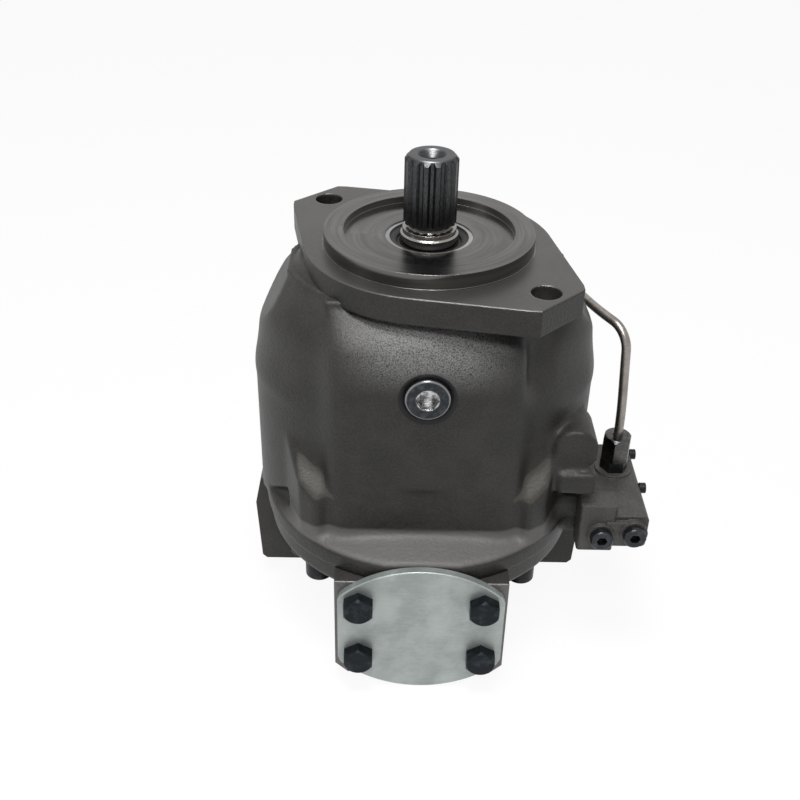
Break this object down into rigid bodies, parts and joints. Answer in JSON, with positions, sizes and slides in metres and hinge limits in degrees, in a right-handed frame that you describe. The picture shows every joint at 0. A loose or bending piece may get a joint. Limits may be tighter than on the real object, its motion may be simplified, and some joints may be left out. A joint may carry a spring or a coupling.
{
  "type": "axial piston pump",
  "caption": "Variable-displacement axial piston pump with a swash plate, splined shaft, two-bolt flange, bolted port covers and a side control valve with a steel tube.",
  "frame": {"origin": "where the shaft axis meets the mounting face of the flange", "axes": "+Z along the shaft towards its free end, -Y to the suction port, +X to the control valve"},
  "size_m": [0.2619, 0.2299, 0.3214],
  "materials": {
    "pump_housing": "cast, painted dark grey, machined faces bare",
    "rear_cover": "cast, painted dark grey",
    "cover_screws": "black oxide",
    "locating_pins": "ground",
    "cover_seal": "matt",
    "drive_shaft": "oiled steel, dark spline",
    "shaft_seal": "matt",
    "seal_retaining_ring": "phosphated",
    "cylinder_block": "ground",
    "valve_plate": "ground bronze",
    "retaining_plate": "hardened",
    "guide_ball": "ground",
    "block_spring": "spring steel",
    "spring_washer": "ground",
    "swash_plate": "machined",
    "cradle_shells": "lined shell",
    "stroking_piston": "ground",
    "bias_piston": "ground",
    "bias_spring": "spring steel",
    "valve_body": "cast, painted dark grey",
    "valve_screws": "black oxide",
    "drain_plugs": "black oxide",
    "control_tube": "zinc plated tube",
    "port_seals": "matt",
    "front_outer_race": "ground",
    "front_inner_race": "ground",
    "front_rollers": "ground",
    "rear_outer_race": "ground",
    "rear_inner_race": "ground",
    "rear_rollers": "ground",
    "suction_cover": "zinc plated, dull",
    "suction_cover_bolts": "black oxide",
    "pressure_cover": "zinc plated, dull",
    "pressure_cover_bolts": "black oxide",
    "tube_fittings": "black oxide",
    "tube_nuts": "zinc plated",
    "pressure_spool": "ground",
    "pressure_spring": "spring steel",
    "pressure_adjuster": "black oxide",
    "flow_spool": "ground",
    "flow_spring": "spring steel",
    "flow_adjuster": "black oxide",
    "piston_1": "ground",
    "slipper_1": "bronze",
    "piston_2": "ground",
    "slipper_2": "bronze",
    "piston_3": "ground",
    "slipper_3": "bronze",
    "piston_4": "ground",
    "slipper_4": "bronze",
    "piston_5": "ground",
    "slipper_5": "bronze",
    "piston_6": "ground",
    "slipper_6": "bronze",
    "piston_7": "ground",
    "slipper_7": "bronze",
    "piston_8": "ground",
    "slipper_8": "bronze",
    "piston_9": "ground",
    "slipper_9": "bronze"
  },
  "bodies": {
    "casing": {"pump_housing": "pump_housing", "rear_cover": "rear_cover", "cover_screws": "cover_screws", "locating_pins": "locating_pins", "cover_seal": "cover_seal", "shaft_seal": "shaft_seal", "seal_retaining_ring": "seal_retaining_ring", "front_outer_race": "front_outer_race", "rear_outer_race": "rear_outer_race", "valve_plate": "valve_plate", "cradle_shells": "cradle_shells", "valve_body": "valve_body", "valve_screws": "valve_screws", "drain_plugs": "drain_plugs", "control_tube": "control_tube", "tube_fittings": "tube_fittings", "tube_nuts": "tube_nuts", "suction_cover": "suction_cover", "suction_cover_bolts": "suction_cover_bolts", "pressure_cover": "pressure_cover", "pressure_cover_bolts": "pressure_cover_bolts", "port_seals": "port_seals"},
    "shaft": {"drive_shaft": "drive_shaft", "front_inner_race": "front_inner_race", "rear_inner_race": "rear_inner_race", "cylinder_block": "cylinder_block", "guide_ball": "guide_ball", "block_spring": "block_spring", "spring_washer": "spring_washer"},
    "front_roller_set": {"front_rollers": "front_rollers"},
    "rear_roller_set": {"rear_rollers": "rear_rollers"},
    "swash": {"swash_plate": "swash_plate"},
    "retainer": {"retaining_plate": "retaining_plate"},
    "stroking": {"stroking_piston": "stroking_piston"},
    "bias": {"bias_piston": "bias_piston", "bias_spring": "bias_spring"},
    "pressure_valve": {"pressure_spool": "pressure_spool", "pressure_spring": "pressure_spring"},
    "flow_valve": {"flow_spool": "flow_spool", "flow_spring": "flow_spring"},
    "pressure_setting": {"pressure_adjuster": "pressure_adjuster"},
    "flow_setting": {"flow_adjuster": "flow_adjuster"},
    "slipper_1_body": {"slipper_1": "slipper_1"},
    "piston_1_body": {"piston_1": "piston_1"},
    "slipper_2_body": {"slipper_2": "slipper_2"},
    "piston_2_body": {"piston_2": "piston_2"},
    "slipper_3_body": {"slipper_3": "slipper_3"},
    "piston_3_body": {"piston_3": "piston_3"},
    "slipper_4_body": {"slipper_4": "slipper_4"},
    "piston_4_body": {"piston_4": "piston_4"},
    "slipper_5_body": {"slipper_5": "slipper_5"},
    "piston_5_body": {"piston_5": "piston_5"},
    "slipper_6_body": {"slipper_6": "slipper_6"},
    "piston_6_body": {"piston_6": "piston_6"},
    "slipper_7_body": {"slipper_7": "slipper_7"},
    "piston_7_body": {"piston_7": "piston_7"},
    "slipper_8_body": {"slipper_8": "slipper_8"},
    "piston_8_body": {"piston_8": "piston_8"},
    "slipper_9_body": {"slipper_9": "slipper_9"},
    "piston_9_body": {"piston_9": "piston_9"}
  },
  "joints": [
    {"name": "shaft_spin", "type": "hinge", "parent": "casing", "child": "shaft", "pos_m": [0, 0, 0], "axis": [0, 0, 1], "continuous": true},
    {"name": "front_roller_orbit", "type": "hinge", "parent": "casing", "child": "front_roller_set", "pos_m": [0, 0, -0.017], "axis": [0, 0, 1], "continuous": true},
    {"name": "rear_roller_orbit", "type": "hinge", "parent": "casing", "child": "rear_roller_set", "pos_m": [0, 0, -0.187], "axis": [0, 0, 1], "continuous": true},
    {"name": "swash_tilt", "type": "hinge", "parent": "casing", "child": "swash", "pos_m": [0, 0, -0.092], "axis": [0, 1, 0], "range_deg": [-16, 0]},
    {"name": "retainer_spin", "type": "hinge", "parent": "swash", "child": "retainer", "pos_m": [0, 0, -0.092], "axis": [0.2756, 0, 0.9613], "continuous": true},
    {"name": "slipper_1_turn", "type": "hinge", "parent": "retainer", "child": "slipper_1_body", "pos_m": [0.03676, 0, -0.10254], "axis": [0.2756, 0, 0.9613], "continuous": true},
    {"name": "piston_1_ball", "type": "hinge", "parent": "slipper_1_body", "child": "piston_1_body", "pos_m": [0.03676, 0, -0.10254], "axis": [0, 1, 0], "range_deg": [0, 16]},
    {"name": "slipper_2_turn", "type": "hinge", "parent": "retainer", "child": "slipper_2_body", "pos_m": [0.02816, 0.02458, -0.10007], "axis": [0.2756, 0, 0.9613], "continuous": true},
    {"name": "piston_2_ball", "type": "hinge", "parent": "slipper_2_body", "child": "piston_2_body", "pos_m": [0.02816, 0.02458, -0.10007], "axis": [0, 1, 0], "range_deg": [0, 16]},
    {"name": "slipper_3_turn", "type": "hinge", "parent": "retainer", "child": "slipper_3_body", "pos_m": [0.00638, 0.03766, -0.09383], "axis": [0.2756, 0, 0.9613], "continuous": true},
    {"name": "piston_3_ball", "type": "hinge", "parent": "slipper_3_body", "child": "piston_3_body", "pos_m": [0.00638, 0.03766, -0.09383], "axis": [0, 1, 0], "range_deg": [0, 16]},
    {"name": "slipper_4_turn", "type": "hinge", "parent": "retainer", "child": "slipper_4_body", "pos_m": [-0.01838, 0.03312, -0.08673], "axis": [0.2756, 0, 0.9613], "continuous": true},
    {"name": "piston_4_ball", "type": "hinge", "parent": "slipper_4_body", "child": "piston_4_body", "pos_m": [-0.01838, 0.03312, -0.08673], "axis": [0, 1, 0], "range_deg": [0, 16]},
    {"name": "slipper_5_turn", "type": "hinge", "parent": "retainer", "child": "slipper_5_body", "pos_m": [-0.03454, 0.01308, -0.0821], "axis": [0.2756, 0, 0.9613], "continuous": true},
    {"name": "piston_5_ball", "type": "hinge", "parent": "slipper_5_body", "child": "piston_5_body", "pos_m": [-0.03454, 0.01308, -0.0821], "axis": [0, 1, 0], "range_deg": [0, 16]},
    {"name": "slipper_6_turn", "type": "hinge", "parent": "retainer", "child": "slipper_6_body", "pos_m": [-0.03454, -0.01308, -0.0821], "axis": [0.2756, 0, 0.9613], "continuous": true},
    {"name": "piston_6_ball", "type": "hinge", "parent": "slipper_6_body", "child": "piston_6_body", "pos_m": [-0.03454, -0.01308, -0.0821], "axis": [0, 1, 0], "range_deg": [0, 16]},
    {"name": "slipper_7_turn", "type": "hinge", "parent": "retainer", "child": "slipper_7_body", "pos_m": [-0.01838, -0.03312, -0.08673], "axis": [0.2756, 0, 0.9613], "continuous": true},
    {"name": "piston_7_ball", "type": "hinge", "parent": "slipper_7_body", "child": "piston_7_body", "pos_m": [-0.01838, -0.03312, -0.08673], "axis": [0, 1, 0], "range_deg": [0, 16]},
    {"name": "slipper_8_turn", "type": "hinge", "parent": "retainer", "child": "slipper_8_body", "pos_m": [0.00638, -0.03766, -0.09383], "axis": [0.2756, 0, 0.9613], "continuous": true},
    {"name": "piston_8_ball", "type": "hinge", "parent": "slipper_8_body", "child": "piston_8_body", "pos_m": [0.00638, -0.03766, -0.09383], "axis": [0, 1, 0], "range_deg": [0, 16]},
    {"name": "slipper_9_turn", "type": "hinge", "parent": "retainer", "child": "slipper_9_body", "pos_m": [0.02816, -0.02458, -0.10007], "axis": [0.2756, 0, 0.9613], "continuous": true},
    {"name": "piston_9_ball", "type": "hinge", "parent": "slipper_9_body", "child": "piston_9_body", "pos_m": [0.02816, -0.02458, -0.10007], "axis": [0, 1, 0], "range_deg": [0, 16]},
    {"name": "stroking_slide", "type": "slide", "parent": "casing", "child": "stroking", "axis": [0, 0, 1], "range_m": [0, 0.02096]},
    {"name": "bias_slide", "type": "slide", "parent": "casing", "child": "bias", "axis": [0, 0, 1], "range_m": [-0.02096, 0], "stiffness_N_per_m": 4000, "springref_m": 0.03, "deforming": ["bias_spring"]},
    {"name": "pressure_spool_slide", "type": "slide", "parent": "casing", "child": "pressure_valve", "axis": [0, -1, 0], "range_m": [0, 0.0025], "stiffness_N_per_m": 500, "springref_m": -0.005},
    {"name": "flow_spool_slide", "type": "slide", "parent": "casing", "child": "flow_valve", "axis": [0, -1, 0], "range_m": [0, 0.0025], "stiffness_N_per_m": 500, "springref_m": -0.005},
    {"name": "pressure_adjuster_turn", "type": "hinge", "parent": "casing", "child": "pressure_setting", "pos_m": [0.134, -0.07, -0.1655], "axis": [0, -1, 0], "range_deg": [-360, 360]},
    {"name": "flow_adjuster_turn", "type": "hinge", "parent": "casing", "child": "flow_setting", "pos_m": [0.1135, -0.07, -0.168], "axis": [0, -1, 0], "range_deg": [-360, 360]}
  ],
  "couplings": [
    {"joint": "front_roller_orbit", "follows": "shaft_spin", "ratio": 0.443},
    {"joint": "rear_roller_orbit", "follows": "shaft_spin", "ratio": 0.44},
    {"joint": "retainer_spin", "follows": "shaft_spin", "ratio": 1},
    {"joint": "slipper_1_turn", "follows": "shaft_spin", "ratio": -1},
    {"joint": "piston_1_ball", "follows": "swash_tilt", "ratio": -1},
    {"joint": "slipper_2_turn", "follows": "shaft_spin", "ratio": -1},
    {"joint": "piston_2_ball", "follows": "swash_tilt", "ratio": -1},
    {"joint": "slipper_3_turn", "follows": "shaft_spin", "ratio": -1},
    {"joint": "piston_3_ball", "follows": "swash_tilt", "ratio": -1},
    {"joint": "slipper_4_turn", "follows": "shaft_spin", "ratio": -1},
    {"joint": "piston_4_ball", "follows": "swash_tilt", "ratio": -1},
    {"joint": "slipper_5_turn", "follows": "shaft_spin", "ratio": -1},
    {"joint": "piston_5_ball", "follows": "swash_tilt", "ratio": -1},
    {"joint": "slipper_6_turn", "follows": "shaft_spin", "ratio": -1},
    {"joint": "piston_6_ball", "follows": "swash_tilt", "ratio": -1},
    {"joint": "slipper_7_turn", "follows": "shaft_spin", "ratio": -1},
    {"joint": "piston_7_ball", "follows": "swash_tilt", "ratio": -1},
    {"joint": "slipper_8_turn", "follows": "shaft_spin", "ratio": -1},
    {"joint": "piston_8_ball", "follows": "swash_tilt", "ratio": -1},
    {"joint": "slipper_9_turn", "follows": "shaft_spin", "ratio": -1},
    {"joint": "piston_9_ball", "follows": "swash_tilt", "ratio": -1},
    {"joint": "stroking_slide", "follows": "swash_tilt", "m_per_rad": -0.075016},
    {"joint": "bias_slide", "follows": "swash_tilt", "m_per_rad": 0.075016}
  ]
}
